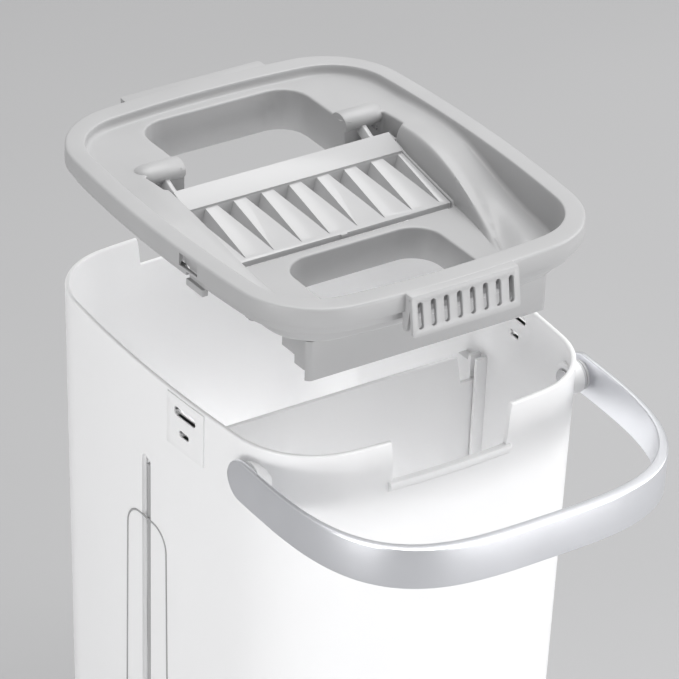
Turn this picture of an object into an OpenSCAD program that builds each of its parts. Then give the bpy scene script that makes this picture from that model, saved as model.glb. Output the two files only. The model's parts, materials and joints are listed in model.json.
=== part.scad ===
// Flat-mop bucket with a lift-off wringer lid and a swinging band handle.
// Millimetres. +Z is up, -Y is the front short side with the finger notch,
// and the origin is the middle of the bucket's underside on the floor.

/* [Bucket] */
// Height of the bucket's rim above the floor
bucket_h = 360; // [300:5:430]
// Width across the long sides at the rim
bucket_w = 220; // [210:2:270]
// Length from front to back at the rim
bucket_l = 262; // [250:2:320]
// How far each side bows outward at its middle
side_bow = 10; // [4:0.5:14]
// Radius of the upright corners
corner_r = 49; // [46:1:60]
// Thickness of the bucket's wall
wall = 3; // [2:0.25:4]
// Thickness of the bucket's floor
floor_t = 3.5; // [2.5:0.5:6]
// How much narrower the underside is on each long side
draft_x = 4.5; // [1:0.5:10]
// How much shorter the underside is at each short side
draft_y = 12; // [4:0.5:18]

/* [Notches and grooves] */
// Width of the finger notches in the short sides
notch_w = 75; // [60:1:90]
// Depth of the front finger notch below the rim
notch_front_d = 25; // [15:1:30]
// Depth of the rear finger notch below the rim
notch_rear_d = 17; // [10:1:25]
// Radius of the upright groove in each long side
groove_r = 4.5; // [3:0.25:6]
// Height of the groove's upper end below the rim
groove_top_d = 58; // [40:1:90]
// Height of the engraved arch's top below the rim
arch_top_d = 94; // [80:1:140]
// Width across the engraved arch near its top
arch_w = 40; // [30:1:60]

/* [Lid] */
// Height at which the lid is held above its seat
lid_lift = 77; // [76:1:110]
// Width of the rim's flat top along the long sides
rim_side_w = 11; // [8:0.5:14]
// Height of the lid's outer band
band_h = 11; // [8:0.5:14]
// Depth of the rear deck below the rim's top
deck_rear_d = 6; // [4:0.5:10]
// Depth of the front deck below the rim's top
deck_front_d = 27; // [22:0.5:32]
// Thickness of the deck and chute walls
deck_t = 2.5; // [2:0.25:3.5]
// Width of the rear wash opening
wash_w = 104; // [90:1:110]
// Width of the front wringing opening
dry_w = 94; // [80:1:104]
// Length of the front wringing opening
dry_l = 70; // [56:1:72]

/* [Wringer plate] */
// Width of the pressing plate
plate_w = 140; // [128:1:144]
// Number of fins on the plate
fin_count = 7; // [5:1:9]
// Furthest tilt of the plate when it is pressed
plate_tilt = 10; // [6:1:11]
// Radius of the plate's hinge pins
hinge_pin_r = 2.5; // [1.5:0.25:3]

/* [Handle] */
// Distance from the pivot axis to the handle's outer front face
handle_reach = 124; // [118:1:140]
// How far the handle's arms stand out past the widest part of each side
handle_out = 2; // [1.5:0.5:8]
// Height of the handle's band
handle_h = 24; // [18:1:30]
// Angle of the handle below level
handle_tilt = 2; // [0:1:30]
// Distance of the pivots behind the front end of the rim
pivot_back = 34; // [32:1:38]
// Distance of the pivots below the rim
pivot_d = 19; // [18:1:40]
// Radius of the pivot pins
pivot_pin_r = 3.5; // [2.5:0.25:4.5]

/* [Hidden] */
$fn = 48;
run_gap = 0.05;        // radial clearance of a pin that turns in its bore
slide_gap = 0.6;       // space round pieces that slide past a wall

// rounded, bowed plan outline shared by the bucket and the lid
half_w = bucket_w / 2;
half_l = bucket_l / 2;
long_arc_r = (half_l * half_l + side_bow * side_bow) / (2 * side_bow);
short_arc_r = (half_w * half_w + side_bow * side_bow) / (2 * side_bow);

// lid heights, measured down from the top of the rim
lid_z = bucket_h + band_h + lid_lift;
rim_end_w = rim_side_w + 2;
flange_inset = wall + slide_gap + 1;
flange_h = 6;
chute_rear_h = 25;
chute_front_h = 19;
wash_y0 = 41.5;
wash_y1 = half_l - rim_end_w - 8;
wash_r = 17;
dry_y1 = -30;
dry_y0 = dry_y1 - dry_l;
dry_r = 17;
deck_y1 = 54;          // where the rear deck starts to fall
deck_y0 = -27;         // where the front deck becomes level
deck_steps = 16;

// finger tabs on the lid's short sides
tab_w = notch_w - 7;
rear_tab_w = tab_w + 24;
tab_top_z = -0.2;
tab_out = 5;
tab_h = 23;
tab_t = 2.4;
tab_slots = 8;
tab_slot_pitch = 8.2;
tab_slot_w = 3.2;
tab_slot_h = 15;

// wringer plate, in lid heights
plate_y1 = 40;
plate_y0 = -22;
plate_gap = 1;
plate_front_gap = 1.5;
bar_front_y = 25.5;
bar_top_rear_z = -9;
bar_top_front_z = -14.5;
bar_bottom_z = -20;
plate_front_z = -25;
plate_t = 2.2;
under_drop = 8.5;
pocket_w = 11;
fin_pitch = (plate_w - pocket_w - 4) / fin_count;
well_y0 = plate_y0 - plate_front_gap;

// plate hinge
hinge_y = 62;
hinge_z = -9;
hump_x0 = wash_w / 2 + 1.5;
hump_x1 = plate_w / 2 + 9;
hump_r = 7.5;
knuckle_r = 4.6;
knuckle_x0 = plate_w / 2 - 10;
knuckle_x1 = plate_w / 2 - 2;
cavity_r = knuckle_r + 0.7;
spring_x0 = knuckle_x1 + 1.6;
spring_coil_r = hinge_pin_r + 1.1;
spring_wire_d = 1.2;
spring_turns = 5;
spring_pitch = 1.15;
cavity_x1 = spring_x0 + spring_turns * spring_pitch + 0.8;

// skirt under the deck, whose lower edge steps up behind the front
skirt_w = plate_w + 14;
skirt_y0 = dry_y0 - 5;
skirt_y1 = 37;
skirt_top_z = -deck_front_d - deck_t;
skirt_bottom_z = -53;
skirt_step_1 = [2.5, -47];
skirt_step_2 = [12, -42];
skirt_step_3 = [24, -34];
skirt_t = 2.4;
skirt_r = 4;
skirt_rear_z = tilted_z(skirt_y1 - skirt_t - 3) - 1.5;
screw_x = skirt_w / 2 + 4.5;
screw_y = [-60, 12];
lug_r = 4.5;
lug_h = 4;
screw_shaft_r = 1.4;
screw_head_r = 2.9;
screw_head_h = 2;

// scraper at the front of the wringing opening
scraper_w = dry_w - 8;
scraper_z = -44;
scraper_reach = 9;
blade_w = dry_w - 2 * dry_r + 4;

// cross beam between the two openings and the wash comb on it
cheek_foot_z = -12;
beam_y0 = 37.8;
beam_y1 = 42;
beam_z0 = -34;
beam_z1 = -28.5;
comb_w = wash_w - 2 * wash_r - 2;
comb_ribs = 12;

// side clips
clip_y = -39;
clip_w = 16;
clip_travel = 2.4;
clip_leg_t = 1.6;
clip_hook_d = 2;
clip_hook_h = 4;
clip_leg_z = -23;
clip_pad_z0 = -9;
clip_pad_z1 = -2.5;
ear_w = 34;
ear_out = 0.9;
ear_h = 34;

// height of the upright groove's lower end
groove_z0 = 18;

// handle pivots
pivot_y = half_l - pivot_back;
pivot_z = bucket_h - pivot_d;
handle_w = bucket_w + 2 * handle_out;
handle_arm_t = 3;
handle_bar_t = 7;
handle_power = 3.4;
handle_steps = 30;
boss_r = 9.5;
bush_r = 6.5;
bush_flange_r = 8.5;
bush_flange_t = 2;
washer_t = 1.6;
washer_r = 8.5;
arm_in_x = handle_w / 2 - handle_arm_t;
bush_out_x = arm_in_x - washer_t - 0.4;
boss_out_x = bush_out_x - bush_flange_t;
boss_in_x = boss_out_x - 7.4;
pin_head_t = 1.2;
pin_head_r = 5.6;

// divider between the two halves of the bucket
divider_y = -10;
divider_t = 3;
divider_top = bucket_h - 45;
divider_shoulder_w = 18;
divider_shoulder_h = 18;
guide_t = 2.5;
guide_d = 7;
guide_gap = 0.4;

// ---- plan outline ----

// middle of the corner arc, where the two inset side arcs cross
function corner_mid(w, l) =
    let (a = w / 2, b = l / 2,
         c1 = [a - long_arc_r, 0], c2 = [0, b - short_arc_r],
         r1 = long_arc_r - corner_r, r2 = short_arc_r - corner_r,
         d = norm(c2 - c1), e = (c2 - c1) / d,
         x = (d * d + r1 * r1 - r2 * r2) / (2 * d),
         h = sqrt(r1 * r1 - x * x))
    c1 + e * x + [-e.y, e.x] * h;

// n places along an arc, without its last one
function arc(c, r, t0, t1, n) =
    [for (i = [0 : n - 1])
        let (t = t0 + (t1 - t0) * i / n)
        c + r * [cos(t), sin(t)]];

// one quarter of the outline, from the long side's middle to the short side's middle
function quarter(w, l, inset) =
    let (q = corner_mid(w, l),
         c1 = [w / 2 - long_arc_r, 0], c2 = [0, l / 2 - short_arc_r],
         t1 = atan2(q.y - c1.y, q.x - c1.x), t2 = atan2(q.y - c2.y, q.x - c2.x))
    concat(arc(c1, long_arc_r - inset, 0, t1, 5),
           arc(q, corner_r - inset, t1, t2, 9),
           arc(c2, short_arc_r - inset, t2, 90, 4),
           [[0, l / 2 - inset]]);

function flipped(pts) = [for (i = [len(pts) - 1 : -1 : 0]) pts[i]];

// the whole outline, with each side moved inward by inset
function outline(w, l, inset) =
    let (q = quarter(w, l, inset), n = len(q))
    concat(q,
           [for (i = [n - 2 : -1 : 0]) [-q[i].x, q[i].y]],
           [for (i = [1 : n - 1]) [-q[i].x, -q[i].y]],
           [for (i = [n - 2 : -1 : 1]) [q[i].x, -q[i].y]]);

// bucket outline at a height, narrowing toward the floor
function bucket_ring(z, inset) =
    let (s = 1 - z / bucket_h,
         pts = outline(bucket_w - 2 * draft_x * s, bucket_l - 2 * draft_y * s, inset))
    [for (p = pts) [p.x, p.y, z]];

// solid between a stack of rings that have equal numbers of points
module loft(rings) {
    n = len(rings[0]);
    m = len(rings);
    points = [for (r = rings) for (p = r) p];
    sides = [for (k = [0 : m - 2]) for (i = [0 : n - 1])
             [k * n + i, (k + 1) * n + i, (k + 1) * n + (i + 1) % n, k * n + (i + 1) % n]];
    bottom = [for (i = [0 : n - 1]) i];
    top = [for (i = [n - 1 : -1 : 0]) (m - 1) * n + i];
    polyhedron(points, concat([bottom, top], sides), convexity = 4);
}

module slab(inset, z0, z1) {
    translate([0, 0, z0])
        linear_extrude(z1 - z0)
            polygon(outline(bucket_w, bucket_l, inset));
}

module both_sides() {
    children();
    mirror([1, 0, 0]) children();
}

// box given by its lowest and highest corners
module block(low, high) {
    translate(low) cube(high - low);
}

module rounded_plan(w, y0, y1, r, z0, z1) {
    translate([0, 0, z0])
        linear_extrude(z1 - z0)
            rounded_rectangle(w, y0, y1, r);
}

module rounded_rectangle(w, y0, y1, r) {
    translate([-w / 2, y0 + r]) square([w, y1 - y0 - 2 * r]);
    translate([-w / 2 + r, y0]) square([w - 2 * r, y1 - y0]);
    for (x = [-1, 1], y = [y0 + r, y1 - r])
        translate([x * (w / 2 - r), y]) circle(r);
}

// rod along X between two places
module rod(r, x0, x1, y, z) {
    translate([x0, y, z]) rotate([0, 90, 0]) cylinder(r = r, h = x1 - x0);
}

// ---- bucket ----

module bucket_body() {
    loft([bucket_ring(0, 5), bucket_ring(1.5, 2), bucket_ring(5, 0), bucket_ring(bucket_h, 0)]);
}

module bucket_hollow() {
    loft([bucket_ring(floor_t, wall + 6), bucket_ring(floor_t + 2, wall + 2),
          bucket_ring(floor_t + 7, wall), bucket_ring(bucket_h + 1, wall)]);
}

// leans with the long side's wall: z runs up the wall and x is out of it
module on_side_wall() {
    translate([half_w - draft_x, 0, 0])
        rotate([0, atan(draft_x / bucket_h), 0])
            children();
}

// upright round bar along the middle of the long side, rounded at its top
module groove_rod(r, z0) {
    top_z = bucket_h - groove_top_d;
    on_side_wall()
        translate([0.3, 0, 0]) {
            translate([0, 0, z0]) cylinder(r = r, h = top_z - z0);
            translate([0, 0, top_z]) sphere(r);
        }
}

// inner bead that keeps the wall thick behind the groove
module groove_bead() {
    intersection() {
        groove_rod(groove_r + wall - 0.5, groove_z0 - 4);
        on_side_wall() block([-20, -20, 0], [-0.8, 20, bucket_h]);
    }
}

module arch_shape(grow) {
    top = bucket_h - arch_top_d;
    r = 13 + grow;
    half = arch_w / 2 + grow;
    foot = 25;
    flare = 3;
    translate([half - r, top - 13]) circle(r);
    translate([-half + r, top - 13]) circle(r);
    translate([-half + r, top - 13]) square([2 * half - 2 * r, r]);
    polygon([[-half, top - 13], [half, top - 13],
             [half + flare, foot - grow], [-half - flare, foot - grow]]);
}

// thin engraved line that frames the groove
module arch_line() {
    line_w = 1.2;
    depth = 0.7;
    on_side_wall()
        translate([-depth, 0, 0])
            rotate([90, 0, 90])
                linear_extrude(6)
                    difference() {
                        arch_shape(line_w / 2);
                        arch_shape(-line_w / 2);
                    }
}

module ear_pad() {
    intersection() {
        loft([bucket_ring(bucket_h - ear_h, 0.3), bucket_ring(bucket_h - ear_h + 3, -ear_out),
              bucket_ring(bucket_h, -ear_out)]);
        block([half_w - 8, clip_y - ear_w / 2, bucket_h - ear_h], [half_w + 5, clip_y + ear_w / 2, bucket_h]);
    }
}

module ear_slots() {
    slot_z = bucket_h + band_h + clip_leg_z;
    slot_half = clip_w / 2 + 2;
    block([half_w - 8, clip_y - slot_half, slot_z - 0.6], [half_w + 6, clip_y + slot_half, slot_z + 5]);
    block([half_w - 8, clip_y - 4, slot_z - 12], [half_w + 6, clip_y + 5, slot_z - 8]);
}

module divider_guides() {
    mid = divider_t / 2 + guide_gap + guide_t / 2;
    intersection() {
        bucket_body();
        for (y = [divider_y - mid, divider_y + mid])
            block([half_w - wall - guide_d - draft_x, y - guide_t / 2, floor_t / 2],
                  [half_w + 2, y + guide_t / 2, divider_top - 4]);
    }
}

module notch(front_back, depth) {
    y_in = half_l - 22;
    y_out = half_l + 6;
    ys = front_back > 0 ? [y_in, y_out] : [-y_out, -y_in];
    block([-notch_w / 2, ys[0], bucket_h - depth], [notch_w / 2, ys[1], bucket_h + 2]);
}

// ledge that stands out under the front notch
module notch_sill() {
    sill_h = 4;
    sill_out = 2.5;
    top = bucket_h - notch_front_d;
    intersection() {
        loft([bucket_ring(top - sill_h - 2, 0.3), bucket_ring(top - sill_h, -sill_out),
              bucket_ring(top, -sill_out)]);
        block([-notch_w / 2 - 2, -half_l - 5, top - sill_h - 2],
              [notch_w / 2 + 2, -half_l + 14, top]);
    }
}

module bucket_shell() {
    color("whitesmoke")
        difference() {
            union() {
                difference() {
                    union() {
                        bucket_body();
                        both_sides() ear_pad();
                        notch_sill();
                    }
                    bucket_hollow();
                }
                both_sides() {
                    groove_bead();
                    divider_guides();
                    rod(boss_r, boss_in_x, boss_out_x, -pivot_y, pivot_z);
                }
            }
            both_sides() {
                groove_rod(groove_r, groove_z0);
                arch_line();
                ear_slots();
                rod(bush_r, boss_in_x - 5, boss_out_x + 8, -pivot_y, pivot_z);
            }
            notch(-1, notch_front_d);
            notch(1, notch_rear_d);
        }
}

// half width inside the bucket at a height
function inside_half(z) = half_w - draft_x * (1 - z / bucket_h) - wall;

module divider() {
    z0 = floor_t + guide_gap;
    z1 = divider_top - divider_shoulder_h;
    low = inside_half(z0 + 8) - slide_gap;
    high = inside_half(z1) - slide_gap;
    top = high - divider_shoulder_w;
    color("gainsboro")
        translate([0, divider_y + divider_t / 2, 0])
            rotate([90, 0, 0])
                linear_extrude(divider_t)
                    polygon([[low - 9, z0], [low, z0 + 8], [high, z1], [top + 3, z1],
                             [top, divider_top], [-top, divider_top], [-top - 3, z1],
                             [-high, z1], [-low, z0 + 8], [-low + 9, z0]]);
}

// ---- handle pivots and handle ----

module pivot_bush() {
    color("silver")
        difference() {
            union() {
                rod(bush_r, boss_in_x, boss_out_x, -pivot_y, pivot_z);
                rod(bush_flange_r, boss_out_x, bush_out_x, -pivot_y, pivot_z);
            }
            rod(pivot_pin_r + run_gap, boss_in_x - 1, bush_out_x + 1, -pivot_y, pivot_z);
        }
}

module handle_pin() {
    head_x = boss_in_x - 0.2;
    color("lightgrey") {
        rod(pivot_pin_r, head_x, arm_in_x + 2, -pivot_y, pivot_z);
        rod(pin_head_r, head_x - pin_head_t, head_x, -pivot_y, pivot_z);
    }
}

module handle_washer() {
    color("gainsboro")
        difference() {
            rod(washer_r, arm_in_x - washer_t, arm_in_x, -pivot_y, pivot_z);
            rod(pivot_pin_r, arm_in_x - washer_t - 1, arm_in_x + 1, -pivot_y, pivot_z);
        }
}

// rounded front of the handle, seen from above with the pivots on x
function bow_path(a, b) =
    [for (i = [0 : handle_steps])
        let (t = 180 * i / handle_steps, c = cos(t), s = sin(t))
        [a * sign(c) * pow(abs(c), 2 / handle_power), -b * pow(s, 2 / handle_power)]];

module handle_band() {
    outer = bow_path(handle_w / 2, handle_reach);
    inner = bow_path(arm_in_x, handle_reach - handle_bar_t);
    tail = handle_h / 2;
    color("silver")
        translate([0, -pivot_y, pivot_z])
            rotate([handle_tilt, 0, 0])
                difference() {
                    union() {
                        translate([0, 0, -handle_h / 2])
                            linear_extrude(handle_h)
                                polygon(concat(outer, flipped(inner)));
                        both_sides() rod(tail, arm_in_x, handle_w / 2, 0, 0);
                    }
                    both_sides() rod(pivot_pin_r, arm_in_x - 1, arm_in_x + 2, 0, 0);
                }
}

// ---- lid ----

module on_lid() {
    translate([0, 0, lid_z]) children();
}

// smooth step from 0 to 1
function ease(t) = let (u = max(0, min(1, t))) u * u * (3 - 2 * u);

// height of the deck's top surface, which falls from the rear to the front
function deck_z(y) = -deck_rear_d - (deck_front_d - deck_rear_d) * ease((deck_y1 - y) / (deck_y1 - deck_y0));

// height of the bar's underside at y, and where it comes to when the plate is pressed right down
function under_z(y) = bar_bottom_z - under_drop * (plate_y1 - y) / (plate_y1 - bar_front_y);
function tilted_z(y) =
    hinge_z + (y - hinge_y) * sin(plate_tilt) + (under_z(y) - hinge_z) * cos(plate_tilt);

// height of the cheeks beside the plate, which fall later than the deck
function cheek_z(y) = -deck_rear_d - (deck_front_d - deck_rear_d) * ease((deck_y1 - y) / (deck_y1 + 82));

// everything above the deck's surface, lowered by drop, as a prism across the lid
module above_deck(drop) {
    ys = [for (i = [0 : deck_steps]) deck_y0 + (deck_y1 - deck_y0) * i / deck_steps];
    profile = concat([[-half_l - 5, -deck_front_d - drop]],
                     [for (y = ys) [y, deck_z(y) - drop]],
                     [[half_l + 5, -deck_rear_d - drop], [half_l + 5, 5], [-half_l - 5, 5]]);
    translate([-half_w - 5, 0, 0])
        rotate([90, 0, 90])
            linear_extrude(bucket_w + 10)
                polygon(profile);
}

// raised cheeks that guide the plate
module cheek() {
    steps = 14;
    y0 = -78;
    y1 = 56;
    ys = [for (i = [0 : steps]) y1 + (y0 - y1) * i / steps];
    profile = concat([for (y = ys) [y, cheek_z(y)]],
                     [for (y = flipped(ys)) [y, deck_z(y) - deck_t / 2]]);
    translate([plate_w / 2 + plate_gap, 0, 0])
        rotate([90, 0, 90])
            linear_extrude(11)
                polygon(profile);
}

// band, flat rim and the flange that plugs into the bucket
module rim_ring() {
    difference() {
        union() {
            slab(0, -band_h, -1.2);
            slab(1.2, -1.2, 0);
            slab(flange_inset, -band_h - flange_h, -band_h);
        }
        slab(flange_inset + 2.6, -band_h - flange_h - 1, -2.4);
        rim_hole(-3, 1);
    }
}

// opening inside the rim, shorter at the ends than at the sides
module rim_hole(z0, z1) {
    intersection() {
        slab(rim_side_w, z0, z1);
        block([-half_w, -half_l + rim_end_w, z0], [half_w, half_l - rim_end_w, z1]);
    }
}

// pan that hangs inside the rim
module deck_pan() {
    difference() {
        intersection() {
            slab(rim_side_w - deck_t, -40, -1);
            above_deck(deck_t);
        }
        intersection() {
            rim_hole(-40, 1);
            above_deck(0);
        }
    }
}

// walls that lead the mop head down through an opening
module chute(w, y0, y1, r, z0, z1) {
    rounded_plan(w + 2 * deck_t, y0 - deck_t, y1 + deck_t, r + deck_t, z0, z1);
}

module hinge_hump() {
    rod(hump_r, hump_x0, hump_x1, hinge_y, hinge_z);
}

// room for the knuckle, the spring and the arm that leads to the plate
module hinge_pocket() {
    rod(cavity_r, knuckle_x0 - 0.6, cavity_x1, hinge_y, hinge_z);
    rod(hinge_pin_r, hump_x0 - 1, hump_x1 + 1, hinge_y, hinge_z);
    block([knuckle_x0 - 0.6, wash_y0 - 2, hinge_z - 11], [cavity_x1, hinge_y, hinge_z + 2]);
    block([hump_x0 + 1.5, wash_y0 - 2, hinge_z - 11], [hump_x1 - 1, hinge_y - hump_r + 1, 1]);
}

// finger tab that leans out over the bucket's notch
module finger_tab() {
    lean = atan(3.5 / tab_h);
    y_top = -half_l + 1;
    difference() {
        union() {
            block([-tab_w / 2, y_top - tab_out, -4], [tab_w / 2, y_top + 3, tab_top_z]);
            translate([0, y_top - tab_out, tab_top_z])
                rotate([-lean, 0, 0])
                    block([-tab_w / 2, 0, -tab_h], [tab_w / 2, tab_t, 0]);
        }
        tab_grip_slots(y_top - tab_out, lean);
    }
}

module tab_grip_slots(y, lean) {
    span = (tab_slots - 1) * tab_slot_pitch;
    translate([0, y, tab_top_z])
        rotate([-lean, 0, 0])
            for (i = [0 : tab_slots - 1])
                translate([-span / 2 + i * tab_slot_pitch, -2, -tab_h + 4])
                    tab_slot();
}

module tab_slot() {
    r = tab_slot_w / 2;
    rotate([-90, 0, 0]) {
        translate([0, -r, 0]) cylinder(r = r, h = 8);
        translate([0, -tab_slot_h + r, 0]) cylinder(r = r, h = 8);
        translate([-r, -tab_slot_h + r, 0]) cube([tab_slot_w, tab_slot_h - 2 * r, 8]);
    }
}

module rear_tab() {
    y_top = half_l - 1;
    drop = 12;
    block([-rear_tab_w / 2, y_top - 9, -4], [rear_tab_w / 2, y_top + tab_out, tab_top_z]);
    block([-rear_tab_w / 2, y_top + tab_out - tab_t, -drop], [rear_tab_w / 2, y_top + tab_out, tab_top_z]);
}

// recess in the band for a side clip's finger pad, and the way its leg goes down
module clip_recess() {
    g = slide_gap / 2;
    x_in = clip_out_x() - clip_hook_d - clip_leg_t - g;
    block([x_in, clip_y - clip_w / 2 - g, clip_pad_z0 - g],
          [half_w + 2, clip_y + clip_w / 2 + g, clip_pad_z1 + g]);
    block([x_in, clip_y - clip_w / 2 - g, -band_h - flange_h - 1],
          [clip_out_x() - clip_hook_d + clip_travel + g, clip_y + clip_w / 2 + g, clip_pad_z0 + g]);
}

module lid_frame() {
    color("lightgrey")
        on_lid()
            difference() {
                union() {
                    rim_ring();
                    deck_pan();
                    both_sides() {
                        cheek();
                        hinge_hump();
                        screw_post();
                    }
                    chute(wash_w, wash_y0, wash_y1, wash_r,
                          -deck_rear_d - chute_rear_h, -deck_rear_d - deck_t / 2);
                    chute(dry_w, dry_y0, dry_y1, dry_r,
                          -deck_front_d - chute_front_h, -deck_front_d - deck_t / 2);
                    block([-plate_w / 2 - 4, beam_y0, beam_z0],
                          [plate_w / 2 + 4, wash_y0 + deck_t, beam_z1]);
                    both_sides()
                        block([plate_w / 2 + plate_gap, beam_y0, beam_z0],
                              [plate_w / 2 + 5, wash_y0 + deck_t, cheek_foot_z]);
                    finger_tab();
                    rear_tab();
                }
                rounded_plan(wash_w, beam_y1, wash_y1, wash_r, -60, 2);
                rounded_plan(dry_w, dry_y0, dry_y1, dry_r, -60, 2);
                block([-wash_w / 2, plate_y0, beam_z1], [wash_w / 2, wash_y0 + wash_r, 2]);
                block([-plate_w / 2 - plate_gap, well_y0, beam_z1], [plate_w / 2 + plate_gap, wash_y0, 2]);
                block([-plate_w / 2 - plate_gap, well_y0, -40], [plate_w / 2 + plate_gap, beam_y0, 2]);
                both_sides() {
                    hinge_pocket();
                    clip_recess();
                    screw_holes();
                }
            }
}

// ---- skirt ----

module screw_post() {
    for (y = screw_y)
        translate([screw_x, y, skirt_top_z])
            cylinder(r = lug_r, h = deck_z(y) - deck_t / 2 - skirt_top_z);
}

module screw_holes() {
    for (y = screw_y)
        translate([screw_x, y, skirt_top_z - 1])
            cylinder(r = screw_shaft_r, h = min(8, deck_z(y) - deck_t - skirt_top_z));
}

module wringer_skirt() {
    color("darkgrey")
        on_lid()
            difference() {
                union() {
                    difference() {
                        rounded_plan(skirt_w, skirt_y0, skirt_y1, skirt_r,
                                     skirt_bottom_z, skirt_top_z);
                        rounded_plan(skirt_w - 2 * skirt_t, skirt_y0 + skirt_t,
                                     skirt_y1 - skirt_t, skirt_r - skirt_t,
                                     skirt_bottom_z - 1, skirt_top_z + 1);
                        skirt_cutaway();
                        skirt_rear_gap();
                    }
                    both_sides() skirt_lugs();
                }
                both_sides() lug_holes();
            }
}

// what the steps leave out of the skirt's lower edge
module skirt_cutaway() {
    y = skirt_y0;
    a = skirt_step_1;
    b = skirt_step_2;
    c = skirt_step_3;
    low = skirt_bottom_z - 1;
    translate([-skirt_w / 2 - 1, 0, 0])
        rotate([90, 0, 90])
            linear_extrude(skirt_w + 2)
                polygon([[y + a.x, low], [y + a.x, a.y], [y + b.x, a.y], [y + b.x, b.y],
                         [y + c.x, b.y], [y + c.x, c.y], [skirt_y1 + 1, c.y], [skirt_y1 + 1, low]]);
}

// space over the skirt's rear wall for the tilted plate
module skirt_rear_gap() {
    block([-skirt_w / 2 - 1, skirt_y1 - skirt_t - 0.5, skirt_rear_z],
          [skirt_w / 2 + 1, skirt_y1 + 1, skirt_top_z + 1]);
}

module skirt_lugs() {
    for (y = screw_y) {
        translate([screw_x, y, skirt_top_z - lug_h]) cylinder(r = lug_r, h = lug_h);
        block([skirt_w / 2 - 1, y - lug_r, skirt_top_z - lug_h], [screw_x, y + lug_r, skirt_top_z]);
    }
}

module lug_holes() {
    for (y = screw_y)
        translate([screw_x, y, skirt_top_z - lug_h - 1]) cylinder(r = screw_shaft_r, h = lug_h + 2);
}

module skirt_screws() {
    grip = lug_h + 5;
    color("dimgrey")
        on_lid()
            both_sides()
                for (y = screw_y)
                    translate([screw_x, y, skirt_top_z - lug_h]) {
                        cylinder(r = screw_shaft_r, h = grip);
                        translate([0, 0, -screw_head_h]) cylinder(r = screw_head_r, h = screw_head_h);
                    }
}

// holder fixed to the front wall of the wringing opening
module scraper_bar() {
    color("grey")
        on_lid()
            difference() {
                intersection() {
                    block([-scraper_w / 2, dry_y0 - 1, scraper_z - 3],
                          [scraper_w / 2, dry_y0 + 4, scraper_z + 5]);
                    rounded_plan(dry_w, dry_y0, dry_y1, dry_r, scraper_z - 3, scraper_z + 5);
                }
                scraper_slot();
            }
}

module scraper_slot() {
    block([-blade_w / 2, dry_y0 + 1, scraper_z], [blade_w / 2, dry_y0 + 5, scraper_z + 2]);
}

module scraper_blade() {
    y = dry_y0;
    color("dimgrey")
        on_lid()
            translate([-blade_w / 2, 0, 0])
                rotate([90, 0, 90])
                    linear_extrude(blade_w)
                        polygon([[y + 1, scraper_z], [y + 4.5, scraper_z],
                                 [y + scraper_reach, scraper_z + 3], [y + scraper_reach, scraper_z + 4],
                                 [y + 4, scraper_z + 2], [y + 1, scraper_z + 2]]);
}

// ribbed strip that the pad rubs against on the wash side
module wash_comb() {
    y = beam_y1;
    pitch = comb_w / comb_ribs;
    color("white")
        on_lid() {
            block([-comb_w / 2, y, beam_z0 + 0.5], [comb_w / 2, y + 1.6, beam_z1 - 0.3]);
            for (i = [0 : comb_ribs - 1])
                block([-comb_w / 2 + (i + 0.3) * pitch, y + 1, beam_z0 + 0.5],
                      [-comb_w / 2 + (i + 0.7) * pitch, y + 4, beam_z1 - 0.3]);
        }
}

// ---- plate hinge ----

module hinge_pin() {
    color("lightgrey") on_lid() rod(hinge_pin_r, hump_x0 + 0.5, hump_x1 - 0.5, hinge_y, hinge_z);
}

// coil seen from the side, as one row of touching wires
module spring_row() {
    for (i = [0 : spring_turns - 1])
        translate([spring_coil_r, i * spring_pitch]) circle(d = spring_wire_d, $fn = 16);
}

module torsion_spring() {
    x = spring_x0 + spring_wire_d / 2;
    color("silver")
        on_lid() {
            translate([x, hinge_y, hinge_z]) rotate([0, 90, 0]) rotate_extrude() spring_row();
            translate([x, hinge_y, hinge_z - spring_coil_r])
                rotate([90, 0, 0]) cylinder(d = spring_wire_d - 0.1, h = 11);
        }
}

// ---- wringer plate ----

module pocket_cut(x) {
    skew = 1.5;
    tip_y = plate_y0 + 4;
    translate([x, 0, plate_front_z - 1.5])
        linear_extrude(20)
            polygon([[-pocket_w / 2, bar_front_y], [pocket_w / 2, bar_front_y],
                     [skew + 0.4, tip_y], [skew - 0.4, tip_y]]);
}

module plate_profile() {
    under_front = plate_front_z - plate_t - 1;
    polygon([[plate_y1 - 1, bar_top_rear_z], [plate_y1, bar_top_rear_z - 1], [plate_y1, bar_bottom_z],
             [bar_front_y, bar_bottom_z - under_drop], [plate_y0, under_front], [plate_y0, plate_front_z],
             [bar_front_y, bar_top_front_z - 1.5], [bar_front_y, bar_top_front_z]]);
}

module plate_arm() {
    difference() {
        union() {
            rod(knuckle_r, knuckle_x0, knuckle_x1, hinge_y, hinge_z);
            translate([knuckle_x0, 0, 0])
                rotate([90, 0, 90])
                    linear_extrude(knuckle_x1 - knuckle_x0)
                        polygon([[plate_y1 - 2, bar_top_rear_z - 2], [hinge_y, hinge_z + 2],
                                 [hinge_y, hinge_z - knuckle_r + 0.4], [plate_y1 - 2, bar_bottom_z + 1]]);
        }
        rod(hinge_pin_r + run_gap, knuckle_x0 - 1, knuckle_x1 + 1, hinge_y, hinge_z);
    }
}

module wringer_plate() {
    color("white")
        on_lid() {
            difference() {
                translate([-plate_w / 2, 0, 0])
                    rotate([90, 0, 90])
                        linear_extrude(plate_w)
                            plate_profile();
                for (i = [0 : fin_count])
                    pocket_cut((i - fin_count / 2) * fin_pitch);
            }
            block([-2, plate_y0 - 0.9, plate_front_z - 1.6], [2.5, plate_y0 + 1, plate_front_z - 0.1]);
            both_sides() plate_arm();
        }
}

// ---- side clips ----

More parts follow.
